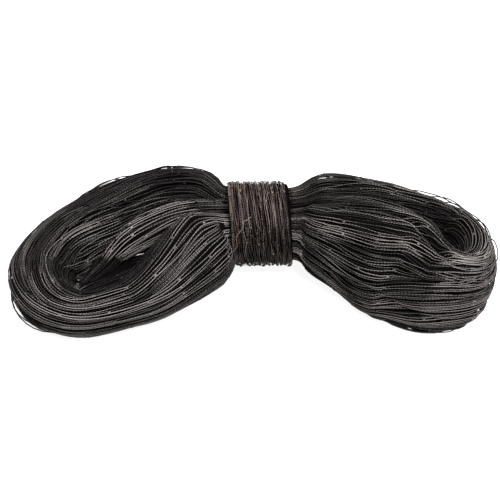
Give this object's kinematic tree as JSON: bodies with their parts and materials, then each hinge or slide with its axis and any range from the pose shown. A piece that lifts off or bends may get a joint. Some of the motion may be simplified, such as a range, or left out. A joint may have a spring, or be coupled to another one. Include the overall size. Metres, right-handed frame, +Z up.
{
  "type": "hank of cat safety netting",
  "caption": "Hank of black knotted safety netting for screening a balcony or window, looped into a long oval and tied round the waist with turns of its own tail.",
  "frame": {"origin": "bottom centre of the hank's box, on the surface it lies on", "axes": "+X along the hank from the flat lobe to the lobe that stands on edge, +Z up, and the hank's hollow side faces -Y"},
  "size_m": [0.4198, 0.1663, 0.0917],
  "materials": {
    "net_twine": "black twisted nylon twine, knotted into net and bunched, with a dull sheen",
    "wrap_twine": "the same black twine pulled tight across the waist, a little browner in the light"
  },
  "bodies": {
    "root": {"net_hank": "net_twine", "waist_wrap": "wrap_twine"}
  },
  "joints": []
}
